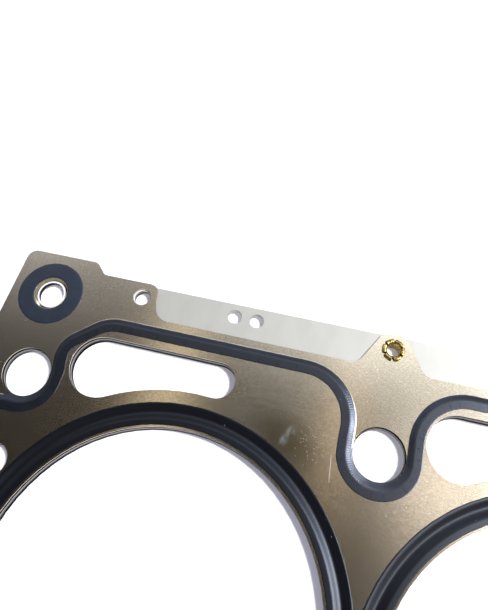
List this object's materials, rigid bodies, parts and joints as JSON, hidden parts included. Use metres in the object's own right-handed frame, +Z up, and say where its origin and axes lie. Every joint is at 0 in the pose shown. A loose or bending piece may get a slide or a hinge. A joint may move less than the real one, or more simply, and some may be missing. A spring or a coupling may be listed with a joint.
{
  "type": "cylinder head gasket",
  "caption": "Flat multi-layer steel gasket that seals a cylinder head to an engine block around bores, coolant slots, oil ports and bolts.",
  "frame": {"origin": "on the surface the gasket lies on, below the middle of the row of bores", "axes": "+X along the row of bores, +Y towards the long edge with the bare strip of plate, +Z up towards the cylinder head"},
  "size_m": [0.38, 0.1528, 0.004],
  "materials": {
    "spring_steel": "fine brushed, bronze tint",
    "plate_steel": "smooth rolled",
    "rubber_coating": "satin",
    "eyelet_brass": "bright"
  },
  "bodies": {
    "root": {"top_sheet": "spring_steel", "bottom_sheet": "spring_steel", "middle_plate": "plate_steel", "top_bore_coating": "rubber_coating", "top_coolant_coating": "rubber_coating", "top_port_coating_rear_left": "rubber_coating", "top_port_coating_rear_right": "rubber_coating", "top_port_coating_front_left": "rubber_coating", "top_port_coating_front_right": "rubber_coating", "bottom_bore_coating": "rubber_coating", "bottom_coolant_coating": "rubber_coating", "bottom_port_coating_rear_left": "rubber_coating", "bottom_port_coating_rear_right": "rubber_coating", "bottom_port_coating_front_left": "rubber_coating", "bottom_port_coating_front_right": "rubber_coating", "eyelet_rear_1": "eyelet_brass", "eyelet_rear_2": "eyelet_brass", "eyelet_rear_3": "eyelet_brass", "eyelet_front_1": "eyelet_brass", "eyelet_front_2": "eyelet_brass", "eyelet_front_3": "eyelet_brass"}
  },
  "joints": []
}
